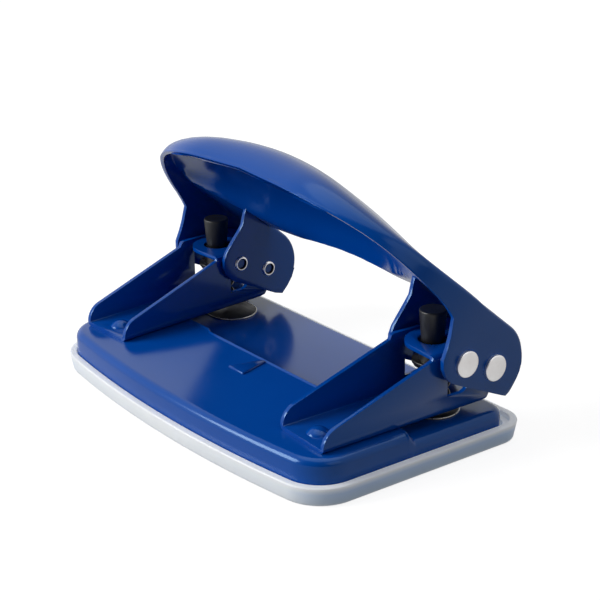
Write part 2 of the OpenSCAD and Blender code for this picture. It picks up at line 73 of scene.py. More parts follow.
class PunchBaseSettings(bpy.types.PropertyGroup):
    """Sizes of the pressed base and of the tray under it"""

    deck_top: bpy.props.FloatProperty(
        name="Deck top", description="Height of the rear deck", default=0.0101, unit="LENGTH"
    )
    paper_top: bpy.props.FloatProperty(
        name="Paper deck", description="Height of the paper deck", default=0.0081, unit="LENGTH"
    )
    sheet: bpy.props.FloatProperty(
        name="Sheet", description="Thickness of the base sheet", default=0.0009, unit="LENGTH"
    )
    half_width: bpy.props.FloatProperty(
        name="Half width", description="Half width of the base at y = 0", default=0.0499, unit="LENGTH"
    )
    side_angle: bpy.props.FloatProperty(
        name="Side angle", description="Angle of each side towards the rear",
        default=math.radians(2.3), subtype="ANGLE",
    )
    front: bpy.props.FloatProperty(
        name="Front", description="Front edge of the base", default=0.0269, unit="LENGTH"
    )
    rear: bpy.props.FloatProperty(
        name="Rear", description="Rearmost point of the base", default=-0.0295, unit="LENGTH"
    )
    bow_radius: bpy.props.FloatProperty(
        name="Bow radius", description="Radius of the bowed rear edge", default=0.305, unit="LENGTH"
    )
    front_corner: bpy.props.FloatProperty(
        name="Front corner", description="Corner radius at the front", default=0.0042, unit="LENGTH"
    )
    rear_corner: bpy.props.FloatProperty(
        name="Rear corner", description="Corner radius at the rear", default=0.009, unit="LENGTH"
    )
    crest: bpy.props.FloatProperty(
        name="Crest", description="Radius of the rounded upper edge", default=0.0018, unit="LENGTH"
    )
    skirt_foot: bpy.props.FloatProperty(
        name="Skirt foot", description="Height of the skirt's lower edge", default=0.0035, unit="LENGTH"
    )
    step_top: bpy.props.FloatProperty(
        name="Step top", description="Where the step down begins", default=-0.0015, unit="LENGTH"
    )
    step_foot: bpy.props.FloatProperty(
        name="Step foot", description="Where the step down ends", default=0.0006, unit="LENGTH"
    )
    tray_height: bpy.props.FloatProperty(
        name="Tray height", description="Height of the chip tray", default=0.0047, unit="LENGTH"
    )
    tray_ledge: bpy.props.FloatProperty(
        name="Tray ledge", description="Width of the tray's rim", default=0.0019, unit="LENGTH"
    )
    tray_front: bpy.props.FloatProperty(
        name="Tray front", description="Front edge of the tray", default=0.0315, unit="LENGTH"
    )


class PunchLeverSettings(bpy.types.PropertyGroup):
    """Slope, place, sheet and bends of the pressed lever"""

    angle: bpy.props.FloatProperty(
        name="Slope", description="Slope of the front face", default=math.radians(40), subtype="ANGLE"
    )
    face_y: bpy.props.FloatProperty(
        name="Face Y", description="Where the face plane crosses Y", default=0.0277, unit="LENGTH"
    )
    face_z: bpy.props.FloatProperty(
        name="Face Z", description="Where the face plane crosses Z", default=0.0271, unit="LENGTH"
    )
    sheet: bpy.props.FloatProperty(
        name="Sheet", description="Thickness of the lever sheet", default=0.001, unit="LENGTH"
    )
    outer_bend: bpy.props.FloatProperty(
        name="Outer bend", description="Radius of the outer bend at the legs, mm", default=0.8
    )
    inner_bend: bpy.props.FloatProperty(
        name="Inner bend", description="Radius of the bend into the ears, mm", default=0.8
    )


class PunchFinishSettings(bpy.types.PropertyGroup):
    """Colours of the finishes"""

    paint: bpy.props.FloatVectorProperty(
        name="Paint", description="Blue enamel", default=(0.0, 0.061, 0.34), subtype="COLOR"
    )
    steel: bpy.props.FloatVectorProperty(
        name="Steel", description="Ground steel", default=(0.56, 0.55, 0.53), subtype="COLOR"
    )
    nickel: bpy.props.FloatVectorProperty(
        name="Nickel", description="Nickel plate", default=(0.97, 0.92, 0.9), subtype="COLOR"
    )
    plug: bpy.props.FloatVectorProperty(
        name="Plug", description="Black plug", default=(0.007, 0.007, 0.008), subtype="COLOR"
    )
    tray: bpy.props.FloatVectorProperty(
        name="Tray", description="Milky tray plastic", default=(0.93, 0.955, 0.985), subtype="COLOR"
    )


class PunchStageSettings(bpy.types.PropertyGroup):
    """Camera and lights"""

    camera_at: bpy.props.FloatVectorProperty(
        name="Camera", description="Place of the camera",
        default=(0.2698, -0.2034, 0.1584), subtype="TRANSLATION",
    )
    azimuth: bpy.props.FloatProperty(
        name="Azimuth", description="Way the view goes", default=math.radians(51.79), subtype="ANGLE"
    )
    elevation: bpy.props.FloatProperty(
        name="Elevation", description="Slope of the view", default=math.radians(21.56), subtype="ANGLE"
    )
    roll: bpy.props.FloatProperty(
        name="Roll", description="Roll of the view", default=math.radians(0.70), subtype="ANGLE"
    )
    lens: bpy.props.FloatProperty(name="Lens", description="Focal length, mm", default=94.88)


# ---- mesh help


def clear_selection():
    if bpy.context.object and bpy.context.object.mode != "OBJECT":
        bpy.ops.object.mode_set(mode="OBJECT")
    bpy.ops.object.select_all(action="DESELECT")


def pick(piece):
    clear_selection()
    piece.select_set(True)
    bpy.context.view_layer.objects.active = piece


def settle(piece):
    """Put the piece's place into its mesh, so the object sits at the origin."""
    pick(piece)
    bpy.ops.object.transform_apply(location=True, rotation=True, scale=True)


def press(piece, kind, **settings):
    """Add one modifier and apply it."""
    pick(piece)
    m = piece.modifiers.new(kind.title(), kind)
    for key, value in settings.items():
        setattr(m, key, value)
    bpy.ops.object.modifier_apply(modifier=m.name)


def sheet_from(name, points, faces):
    mesh = bpy.data.meshes.new(name)
    mesh.from_pydata(points, [], faces)
    mesh.validate()
    piece = bpy.data.objects.new(name, mesh)
    bpy.context.scene.collection.objects.link(piece)
    return piece


def quads(rows, n, first=0, wrap=False, flip=False):
    """Faces between closed rows of n points; wrap also joins the last row to the first."""
    faces = []
    for i in range(rows if wrap else rows - 1):
        a, b = first + i * n, first + (i + 1) % rows * n
        for k in range(n):
            j = (k + 1) % n
            faces.append((a + k, b + k, b + j, a + j) if flip else (a + k, a + j, b + j, b + k))
    return faces


def clamp(x):
    return max(0.0, min(1.0, x))


def smooth(piece, angle):
    pick(piece)
    bpy.ops.object.shade_smooth_by_angle(angle=math.radians(angle))


def fit(piece, body, nodes, material):
    piece.data.materials.clear()
    piece.data.materials.append(material)
    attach(piece, body)
    if nodes:
        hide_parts(*nodes)


def copy_of(node, name):
    """The CAD node's shape as a new mesh with shared corners and whole faces."""
    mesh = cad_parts[node].data.copy()
    piece = bpy.data.objects.new(name, mesh)
    bpy.context.scene.collection.objects.link(piece)
    shape = bmesh.new()
    shape.from_mesh(mesh)
    bmesh.ops.remove_doubles(shape, verts=shape.verts, dist=2e-6)
    bmesh.ops.dissolve_limit(
        shape, angle_limit=math.radians(0.6), verts=shape.verts, edges=shape.edges, delimit=set()
    )
    shape.to_mesh(mesh)
    shape.free()
    return piece


def soften(piece, width, segments):
    """Round every sharp edge as paint or tumbling does."""
    press(
        piece, "BEVEL", width=width, segments=segments, limit_method="ANGLE",
        angle_limit=math.radians(32), miter_outer="MITER_ARC",
    )
    smooth(piece, 40)


# ---- materials


def new_material(name):
    m = bpy.data.materials.new(name)
    m.use_nodes = True
    t = m.node_tree
    return m, t, t.nodes["Principled BSDF"]


def link(t, a, out, b, inp):
    t.links.new(a.outputs[out], b.inputs[inp])


def preset(node, values):
    for name, value in values.items():
        node.inputs[name].default_value = value
    return node


def made(t, kind, operation=None):
    """A new node; Math and VectorMath also take their operation."""
    node = t.nodes.new("ShaderNode" + kind)
    if operation:
        node.operation = operation
    return node


def ranged(t, start, end, low, high):
    """A Map Range node from start..end to low..high."""
    values = {"From Min": start, "From Max": end, "To Min": low, "To Max": high}
    return preset(made(t, "MapRange"), values)


def colour_mix(t, blend="MIX"):
    mix = made(t, "Mix")
    mix.data_type = "RGBA"
    mix.blend_type = blend
    return mix


def fine_grain_group():
    """Mottle and fine relief, shared by all finishes."""
    name = "Fine Grain"
    if name in bpy.data.node_groups:
        return bpy.data.node_groups[name]
    g = bpy.data.node_groups.new(name, "ShaderNodeTree")
    for way, kind, socket in (
        ("INPUT", "Float", "Scale"), ("INPUT", "Vector", "Stretch"),
        ("OUTPUT", "Float", "Mask"), ("OUTPUT", "Float", "Relief"),
    ):
        g.interface.new_socket(name=socket, in_out=way, socket_type="NodeSocket" + kind)
    inp, out = g.nodes.new("NodeGroupInput"), g.nodes.new("NodeGroupOutput")
    co, mp = made(g, "TexCoord"), made(g, "Mapping")
    big = preset(made(g, "TexNoise"), {"Detail": 3})
    small = preset(made(g, "TexNoise"), {"Detail": 2})
    times = made(g, "Math", "MULTIPLY")
    times.inputs[1].default_value = 9.0  # the relief is this much finer than the mottle
    link(g, co, "Object", mp, "Vector")
    link(g, inp, "Stretch", mp, "Scale")
    link(g, mp, "Vector", big, "Vector")
    link(g, mp, "Vector", small, "Vector")
    link(g, inp, "Scale", big, "Scale")
    link(g, inp, "Scale", times, 0)
    link(g, times, 0, small, "Scale")
    link(g, big, "Fac", out, "Mask")
    link(g, small, "Fac", out, "Relief")
    return g


def grained(t, shader, scale, stretch, rough, relief):
    """Roughness and bump from the shared grain; rough is (low, high), relief (strength, distance)."""
    g = made(t, "Group")
    g.node_tree = fine_grain_group()
    preset(g, {"Scale": scale, "Stretch": stretch})
    r = ranged(t, 0.3, 0.7, rough[0], rough[1])
    link(t, g, "Mask", r, "Value")
    link(t, r, "Result", shader, "Roughness")
    b = preset(made(t, "Bump"), {"Strength": relief[0], "Distance": relief[1]})
    link(t, g, "Relief", b, "Height")
    link(t, b, "Normal", shader, "Normal")
    return g


def mottled(t, g, shader, low, high):
    mix = preset(colour_mix(t), {"A": (*low, 1), "B": (*high, 1)})
    link(t, g, "Mask", mix, "Factor")
    link(t, mix, "Result", shader, "Base Color")
    return mix


def tray_painted_light(t, shader, mottle):
    """Milky plastic with painted light over it: white at the lip and rear, painted shade darker towards
    the foot, and along the ends a painted blue of the base showing through the plastic.
    """
    co = made(t, "TexCoord")
    place = made(t, "SeparateXYZ")
    link(t, co, "Object", place, "Vector")
    high = made(t, "Math", "MULTIPLY")
    high.inputs[1].default_value = 1 / bpy.context.scene.punch_base.tray_height
    link(t, place, "Z", high, 0)
    bands = []
    for stops in TRAY_PAINTED_LIGHT:
        ramp = made(t, "ValToRGB")
        while len(ramp.color_ramp.elements) < len(stops):
            ramp.color_ramp.elements.new(0.5)
        for element, (at, tint) in zip(ramp.color_ramp.elements, stops):
            element.position = at
            element.color = (*tint, 1)
        link(t, high, 0, ramp, "Fac")
        bands.append(ramp)
    facing = made(t, "SeparateXYZ")
    link(t, co, "Normal", facing, "Vector")
    ends = made(t, "Math", "ABSOLUTE")
    link(t, facing, "X", ends, 0)
    mix = colour_mix(t)
    link(t, ends, 0, mix, "Factor")
    link(t, bands[0], "Color", mix, "A")
    link(t, bands[1], "Color", mix, "B")
    whole = preset(colour_mix(t, "MULTIPLY"), {"Factor": 1})
    link(t, mottle, "Result", whole, "A")
    link(t, mix, "Result", whole, "B")
    # painted light: the tints go into the base colour and into a faint glow that stands in for light
    # passing through the plastic
    link(t, whole, "Result", shader, "Base Color")
    link(t, whole, "Result", shader, "Emission Color")


def painted_bore_shade(t, shader, mottle):
    """Nickel with painted shade: it turns dark where the rivet's bore attribute is set, standing in for
    the shade inside the rolled end and its bore.
    """
    bore = made(t, "Attribute")
    bore.attribute_name = "bore"
    dark = preset(colour_mix(t), {"B": (0.022, 0.016, 0.013, 1)})
    link(t, bore, "Fac", dark, "Factor")
    link(t, mottle, "Result", dark, "A")
    link(t, dark, "Result", shader, "Base Color")


WHITE = (1, 1, 1)
# painted light over the tray's height, for its long sides and for its ends (painted shade at the foot,
# painted blue of the base showing through on the ends): share of the height, colour
TRAY_PAINTED_LIGHT = (
    ((0.0, (0.78, 0.8, 0.82)), (0.25, (0.95, 0.96, 0.97)), (0.8, (0.97, 0.98, 0.98)), (1.0, WHITE)),
    ((0.0, (0.7, 0.73, 0.77)), (0.22, (0.44, 0.54, 0.68)), (0.65, (0.52, 0.64, 0.82)), (0.92, WHITE)),
)
EVEN, BRUSHED, FINE_BRUSHED = (1, 1, 1), (1, 14, 1), (1, 6, 1)
# colour setting, grain scale, stretch, roughness, bump, darkest and lightest tint, metallic
FINISHES = {
    "blue_enamel": ("paint", 60, EVEN, (0.13, 0.19), (0.02, 0.0002), (0.94, 1.06), 0),
    "ground_steel": ("steel", 120, BRUSHED, (0.24, 0.4), (0.08, 0.0001), (0.85, 1.1), 1),
    # painted shade: the next two finishes are much darker copies of the same steel colour, for the
    # pins, washers, die plates and springs that sit in shade inside and under the brackets
    "dark_steel": ("steel", 160, FINE_BRUSHED, (0.3, 0.5), (0.08, 0.0001), (0.07, 0.2), 1),
    "spring_wire": ("steel", 200, EVEN, (0.25, 0.45), (0.08, 0.0001), (0.12, 0.3), 1),
    "nickel_plate": ("nickel", 260, EVEN, (0.3, 0.46), (0.12, 0.0001), (0.72, 1.12), 1),
    "black_plug": ("plug", 180, EVEN, (0.36, 0.52), (0.12, 0.0001), (0.8, 1.5), 0),
    "milky_tray": ("tray", 70, EVEN, (0.3, 0.42), (0.05, 0.0002), (0.96, 1.02), 0),
}


def shade(colour, k):
    return tuple(min(1.0, c * k) for c in colour)


def material(name):
    """Each finish, made once."""
    if name in bpy.data.materials:
        return bpy.data.materials[name]
    setting, scale, stretch, rough, relief, (darkest, lightest), metal = FINISHES[name]
    colour = getattr(bpy.context.scene.punch_finish, setting)
    m, t, p = new_material(name)
    g = grained(t, p, scale, stretch, rough, relief)
    mottle = mottled(t, g, p, shade(colour, darkest), shade(colour, lightest))
    p.inputs["Metallic"].default_value = metal
    if name == "blue_enamel":
        preset(p, {"IOR": 1.45, "Specular IOR Level": 0.5, "Specular Tint": (0.5, 0.78, 1.0, 1)})
    elif name == "nickel_plate":
        # painted shade inside the rivets' rolled ends and bores
        painted_bore_shade(t, p, mottle)
    elif name == "milky_tray":
        tray_painted_light(t, p, mottle)
        # painted light: the tinted colour glows faintly, standing in for light passing through the
        # plastic
        preset(p, {
            "Emission Strength": 0.09, "Transmission Weight": 0.22, "IOR": 1.46,
            "Subsurface Weight": 0.3, "Subsurface Radius": (0.002, 0.002, 0.0022),
        })
    return m


# ---- base outline


def arc(x, y, r, start, end, steps):
    """Points of an arc with their outward normals."""
    turns = [start + (end - start) * i / steps for i in range(steps + 1)]
    return [(x + r * math.cos(a), y + r * math.sin(a), math.cos(a), math.sin(a)) for a in turns]


def outline(front, fine_rows=()):
    """Points of the base's outline with outward normals, counter-clockwise from the rear middle."""
    s = bpy.context.scene.punch_base
    slope = math.tan(s.side_angle)
    co, si = math.cos(s.side_angle), math.sin(s.side_angle)
    bow_y = s.rear + s.bow_radius

    def k(r):
        return s.half_width - r / co

    def corner_y(r):
        """Where a corner of radius r touches both the side and the bow."""
        kk, q = k(r), s.bow_radius - r
        b = kk * slope - bow_y
        c = kk * kk + bow_y * bow_y - q * q
        return (-b - math.sqrt(b * b - (1 + slope * slope) * c)) / (1 + slope * slope)

    ry = corner_y(s.rear_corner)
    rx = k(s.rear_corner) + slope * ry
    fy = front - s.front_corner
    fx = k(s.front_corner) + slope * fy
    bow_end = math.atan2(ry - bow_y, rx)
    # right half from the rear middle to the front middle: point, normal
    half = arc(0.0, bow_y, s.bow_radius, -math.pi / 2, bow_end, 18)[:-1]
    half += arc(rx, ry, s.rear_corner, bow_end, -s.side_angle, 14)
    y0, y1 = half[-1][1], fy - s.front_corner * si
    rows = sorted([y0 + (y1 - y0) * i / 10 for i in range(1, 10)] + list(fine_rows))
    last, closest = y0, 0.00008
    for y in rows:
        if min(y - last, y1 - y) >= closest:
            half.append((s.half_width + slope * y, y, co, -si))
            last = y
    half += arc(fx, fy, s.front_corner, -s.side_angle, math.pi / 2, 10)
    half += [(fx * (1 - i / 8), front, 0, 1) for i in range(1, 9)]
    return half + [(-x, y, -nx, ny) for x, y, nx, ny in reversed(half[1:-1])]


def rings(border, levels):
    """Quads between copies of the border; each level is (grow, height function)."""
    points = []
    for grow, height in levels:
        for x, y, nx, ny in border:
            px, py = x + nx * grow, y + ny * grow
            points.append((px, py, height(px, py)))
    return points, quads(len(levels), len(border))


def cap(points, faces, first, count, inner, height):
    """Close a ring with triangles that also use the inner points."""
    flat = [Vector((points[first + i][0], points[first + i][1])) for i in range(count)]
    flat += [Vector(p) for p in inner]
    edges = [(i, (i + 1) % count) for i in range(count)]
    made, _, tris, origin, _, _ = delaunay_2d_cdt(flat, edges, [], 1, 1e-7)
    where = []
    for v, o in zip(made, origin):
        back = [q for q in o if q < count]
        if back:
            where.append(first + back[0])
        else:
            where.append(len(points))
            points.append((v.x, v.y, height(v.x, v.y)))
    for tri in tris:
        faces.append(tuple(where[i] for i in tri))


STEP_ROWS = [i / 10 for i in range(-1, 12)]
BEAD_HALF, BEAD_HIGH = 0.00045, 0.0004  # the raised line along the step's upper edge
STEP_JOG = 0.0009


def step_shift(x):
    """The step stands a little further forward beyond the left mark."""
    k = clamp((-0.0222 - x) / 0.0016)
    return STEP_JOG * k * k * (3 - 2 * k)


def deck_height(x, y):
    s = bpy.context.scene.punch_base
    past = y - step_shift(x) - s.step_top
    k = clamp(past / (s.step_foot - s.step_top))
    bead = abs(past) / BEAD_HALF
    bead = BEAD_HIGH * (0.5 + 0.5 * math.cos(math.pi * bead)) if bead < 1 else 0.0
    return s.deck_top + (s.paper_top - s.deck_top) * (0.5 - 0.5 * math.cos(math.pi * k)) + bead


# ---- operators


class PUNCH_OT_stage(bpy.types.Operator):
    """Camera, floor and soft studio light"""

    bl_idname = "punch.stage"
    bl_label = "Stage"

    def execute(self, context):
        self.camera(context.scene)
        self.floor()
        self.room(context.scene)
        self.lamp("overhead", (0.0, 0.08, 1.0), (0, 0, 0), 1.25, 4.0)
        self.lamp("right_fill", (1.0, 0.0, 0.65), (0, 0, 0.03), 0.8, 1.4)
        self.lamp("key", (-0.5, -0.9, 0.5), (0, 0, 0.02), 0.7, 12.0)
        context.scene.view_settings.view_transform = "Standard"
        return {"FINISHED"}

    def camera(self, scene):
        s = scene.punch_stage
        a, e, r = s.azimuth, s.elevation, s.roll
        forward = Vector((-math.sin(a) * math.cos(e), math.cos(a) * math.cos(e), -math.sin(e)))
        right = Vector((math.cos(a), math.sin(a), 0))
        down = forward.cross(right)
        rolled_right = math.cos(r) * right + math.sin(r) * down
        rolled_down = -math.sin(r) * right + math.cos(r) * down
        m = Matrix((rolled_right, -rolled_down, -forward)).transposed().to_4x4()
        m.translation = s.camera_at
        bpy.ops.object.camera_add()
        camera = bpy.context.object
        camera.name = "camera"
        camera.matrix_world = m
        camera.data.lens = s.lens
        camera.data.sensor_width = 36
        camera.data.clip_start, camera.data.clip_end = 0.01, 50
        scene.camera = camera

    def floor(self):
        """White paper: it glows for the camera, a little more with distance, and for reflections."""
        clear_selection()
        bpy.ops.mesh.primitive_plane_add(size=6, location=(0, 0, -0.00005))
        floor = bpy.context.object
        floor.name = "floor"
        settle(floor)
        mat, t, p = new_material("floor_paper")
        preset(p, {"Base Color": (0.3, 0.3, 0.3, 1), "Roughness": 0.9, "Specular IOR Level": 0.1})
        path = made(t, "LightPath")
        ground = made(t, "TexCoord")
        away = made(t, "VectorMath", "LENGTH")
        link(t, ground, "Object", away, 0)
        whiter = ranged(t, 0.25, 1.2, 0.85, 1.02)
        link(t, away, "Value", whiter, "Value")
        lift = made(t, "Math", "MULTIPLY")
        link(t, path, "Is Camera Ray", lift, 0)
        link(t, whiter, "Result", lift, 1)
        shine = made(t, "Math", "MULTIPLY_ADD")
        shine.inputs[1].default_value = 0.5
        link(t, path, "Is Glossy Ray", shine, 0)
        link(t, lift, 0, shine, 2)
        glow = made(t, "Emission")
        link(t, shine, 0, glow, "Strength")
        add = made(t, "AddShader")
        link(t, p, "BSDF", add, 0)
        link(t, glow, "Emission", add, 1)
        link(t, add, "Shader", t.nodes["Material Output"], "Surface")
        floor.data.materials.append(mat)

    def room(self, scene):
        """White for the camera, almost dark for diffuse rays, a gradient for glossy ones."""
        world = bpy.data.worlds.new("studio")
        scene.world = world
        world.use_nodes = True
        t = world.node_tree
        back = preset(t.nodes["Background"], {"Color": (1, 1, 1, 1)})
        path = made(t, "LightPath")
        seen = made(t, "Math", "MAXIMUM")
        link(t, path, "Is Camera Ray", seen, 0)
        link(t, path, "Is Transmission Ray", seen, 1)
        mix = preset(made(t, "Mix"), {"A": 0.03})
        link(t, path, "Is Glossy Ray", mix, "Factor")
        link(t, self.room_gradient(t), "Result", mix, "B")
        whole = preset(made(t, "Mix"), {"B": 1.0})
        link(t, seen, 0, whole, "Factor")
        link(t, mix, "Result", whole, "A")
        link(t, whole, "Result", back, "Strength")

    def room_gradient(self, t):
        """Glossy rays see a bright room with a darker side behind the camera."""
        co = made(t, "TexCoord")
        dot = made(t, "VectorMath", "DOT_PRODUCT")
        dot.inputs[1].default_value = Vector((0.62, -0.55, 0.35)).normalized()
        link(t, co, "Generated", dot, 0)
        ramp = ranged(t, 0.25, 0.9, 0.95, 0.05)
        ramp.interpolation_type = "SMOOTHSTEP"
        link(t, dot, "Value", ramp, "Value")
        return ramp

    def lamp(self, name, place, aim, size, power):
        bpy.ops.object.light_add(type="AREA", location=place)
        lamp = bpy.context.object
        lamp.name = name
        lamp.data.shape = "DISK"
        lamp.data.size = size
        lamp.data.energy = power
        lamp.rotation_euler = (Vector(aim) - Vector(place)).to_track_quat("-Z", "Y").to_euler()


class PUNCH_OT_tray(bpy.types.Operator):
    """Milky chip tray under the base"""

    bl_idname = "punch.tray"
    bl_label = "Chip Tray"

    def execute(self, context):
        s = context.scene.punch_base
        ledge, top = s.tray_ledge, s.tray_height
        border = outline(s.tray_front - ledge)
        wall, floor, draft, foot = 0.0013, 0.0012, 0.0008, 0.0011
        lip, gap, groove, inside = 0.00035, 0.00018, 0.00012, 0.0035

        def out(z):
            """How far the outer wall stands out at height z."""
            return ledge - draft * (1 - z / top)

        profile = [(out(0) - foot, 0)]  # how far out of the base's outline, height
        for i in range(1, 6):
            a = math.pi / 2 * i / 5
            profile.append((out(foot) - foot + foot * math.sin(a), foot * (1 - math.cos(a))))
        for i in range(6):
            a = math.pi / 2 * i / 5
            profile.append((ledge - lip + lip * math.cos(a) - 0.00002, top - lip + lip * math.sin(a)))
        profile += [(0.0003, top), (gap, top - groove), (gap, inside), (-wall, inside), (-wall, floor)]
        points, faces = rings(border, [(grow, lambda x, y, z=z: z) for grow, z in profile])
        n = len(border)
        faces.append(tuple(reversed(range(n))))
        last = (len(profile) - 1) * n
        faces.append(tuple(range(last, last + n)))
        tray = sheet_from("tray", points, faces)
        smooth(tray, 40)
        fit(tray, "tray", ["chip_tray"], material("milky_tray"))
        return {"FINISHED"}


class PUNCH_OT_base(bpy.types.Operator):
    """Pressed base with its rounded crest and the step down to the paper deck"""

    bl_idname = "punch.base"
    bl_label = "Base"

    def execute(self, context):
        s = context.scene.punch_base
        run = s.step_foot - s.step_top
        rows = [s.step_top + run * k for k in STEP_ROWS if run * abs(k) > BEAD_HALF + 0.00003]
        rows = sorted(rows + [s.step_top + BEAD_HALF * k / 4 for k in range(-4, 5)])
        border = outline(s.front, rows + [y + STEP_JOG for y in rows])
        r = s.crest
        levels = [(0, lambda x, y: s.skirt_foot)]
        for i in range(9):
            a = math.pi / 2 * i / 8
            height = lambda x, y, a=a: deck_height(x, y) - r + r * math.sin(a)
            levels.append((-r * (1 - math.cos(a)), height))
        points, faces = rings(border, levels)
        n = len(border)
        inner = [(i * MM, y + step_shift(i * MM)) for y in rows for i in range(-46, 47)]
        cap(points, faces, (len(levels) - 1) * n, n, inner, deck_height)
        base = sheet_from("base", points, faces)
        press(base, "SOLIDIFY", thickness=s.sheet, offset=-1, use_even_offset=False)
        self.cut_die_seats(base)
        smooth(base, 40)
        fit(base, "punch", ["base_plate"], material("blue_enamel"))
        self.centre_mark()
        return {"FINISHED"}

    def cut_die_seats(self, base):
        """Slots in the deck where the die plates stand."""
        for side in SIDES.values():
            clear_selection()
            place = (side * HOLE_X, HOLE_Y, bpy.context.scene.punch_base.paper_top)
            radius, depth = DIE_RADIUS + 0.0001, 0.006
            bpy.ops.mesh.primitive_cylinder_add(vertices=64, radius=radius, depth=depth, location=place)
            cutter = bpy.context.object
            for v in cutter.data.vertices:
                if v.co.x * side < 1e-6:
                    v.co.x -= side * DIE_REACH
            press(base, "BOOLEAN", object=cutter, operation="DIFFERENCE", solver="EXACT")
            bpy.data.objects.remove(cutter)

    def centre_mark(self):
        """Raised pointer that shows the middle between the holes."""
        s = bpy.context.scene.punch_base
        low, high = s.deck_top - 0.0002, s.deck_top + 0.00045
        tip, foot = s.step_top - 0.0004, s.step_top - 0.0086
        plan = [(-0.0029, foot), (0.0029, foot), (0.0006, tip), (-0.0006, tip)]
        points = [(x, y, z) for z in (low, high) for x, y in plan]
        faces = [(3, 2, 1, 0), (4, 5, 6, 7)] + quads(2, 4)
        mark = sheet_from("centre_mark", points, faces)
        soften(mark, 0.0004, 3)
        fit(mark, "punch", [], material("blue_enamel"))


class PUNCH_OT_softened(bpy.types.Operator):
    """Brackets, pins, plugs, washers and die plates with softened edges"""

    bl_idname = "punch.softened"
    bl_label = "Brackets and Pins"

    def execute(self, context):
        for side in SIDES:
            self.make(f"bracket_{side}", "punch", "blue_paint", "blue_enamel", 0.00022, 3)
            # the die plate, pin and washer take the darkened steel, painted shade for their place
            # inside and under the bracket
            self.make(f"die_plate_{side}", "punch", "steel", "dark_steel", 0.00025, 3)
            self.dome(side)
            self.make(f"punch_pin_{side}", f"pin_{side}", "steel", "dark_steel", 0.00006, 2)
            self.make(f"pin_cap_{side}", f"pin_{side}", "black_plastic", "black_plug", 0.0004, 4)
            self.die_rim(side)
            self.make(f"spring_washer_{side}", f"pin_{side}", "steel", "dark_steel", 0.0001, 2)
        return {"FINISHED"}

    def dome(self, side):
        """Painted rivet head: a cap of a sphere on the bracket's floor."""
        low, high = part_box(f"base_rivet_{side}")
        x, y = (low.x + high.x) / 2, (low.y + high.y) / 2
        radius, edge, rows, n = 0.0031, 0.0027, 14, 48
        points = [(x, y, high.z)]
        for i in range(1, rows + 1):
            a = math.asin(edge / radius) * i / rows
            out, z = radius * math.sin(a), high.z - radius * (1 - math.cos(a))
            for k in range(n):
                b = math.tau * k / n
                points.append((x + out * math.cos(b), y + out * math.sin(b), z))
        faces = [(0, 1 + k, 1 + (k + 1) % n) for k in range(n)] + quads(rows, n, first=1, flip=True)
        faces.append(tuple(reversed(range(1 + (rows - 1) * n, 1 + rows * n))))
        head = sheet_from(f"base_rivet_{side}_head", points, faces)
        smooth(head, 50)
        fit(head, "punch", [f"base_rivet_{side}"], material("blue_enamel"))

    def die_rim(self, side):
        """Polished rim round the raised die."""
        sign = SIDES[side]
        wire, n, z = 0.00013, 10, 0.00833
        path = []
        for middle, start in ((HOLE_X, -90), (HOLE_X - DIE_REACH, 90)):
            for i in range(33):
                a = math.radians(start + 180 * i / 32)
                x, y = sign * (middle + DIE_RADIUS * math.cos(a)), HOLE_Y + DIE_RADIUS * math.sin(a)
                path.append((x, y, math.cos(a) * sign, math.sin(a)))
        points = []
        for x, y, nx, ny in path:
            for k in range(n):
                b = math.tau * k / n
                px, py = x + nx * wire * math.cos(b), y + ny * wire * math.cos(b)
                points.append((px, py, z + wire * math.sin(b)))
        faces = quads(len(path), n, wrap=True, flip=True)
        if sign < 0:
            faces = [face[::-1] for face in faces]
        rim = sheet_from(f"die_rim_{side}", points, faces)
        smooth(rim, 60)
        fit(rim, "punch", [], material("ground_steel"))

    def make(self, node, body, slot, finish, width, segments):
        piece = copy_of(node, node + "_soft")
        soften(piece, width, segments)
        fit(piece, body, [node], material(finish))


class PUNCH_OT_springs(bpy.types.Operator):
    """Return springs as round wire"""

    bl_idname = "punch.springs"
    bl_label = "Springs"

    def execute(self, context):
        for side, sign in SIDES.items():
            low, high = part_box(f"return_spring_{side}")
            wire, radius, turns = 0.0003, 0.0038, 2.75
            rise = high.z - low.z - 2 * wire
            points = []
            steps, n = int(turns * 36), 12
            for i in range(steps + 1):
                a = math.tau * turns * i / steps
                for k in range(n):
                    b = math.tau * k / n
                    r = radius + wire * math.cos(b)
                    z = low.z + wire * (1 + math.sin(b)) + rise * i / steps
                    points.append((sign * HOLE_X + r * math.cos(a), HOLE_Y + r * math.sin(a), z))
            faces = quads(steps + 1, n, flip=True)
            faces.append(tuple(range(n)))
            faces.append(tuple(reversed(range(steps * n, steps * n + n))))
            spring = sheet_from(f"spring_{side}", points, faces)
            smooth(spring, 50)
            # the darkened spring wire is painted shade for the spring's place inside the bracket
            fit(spring, "punch", [f"return_spring_{side}"], material("spring_wire"))
            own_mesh(spring)
        return {"FINISHED"}


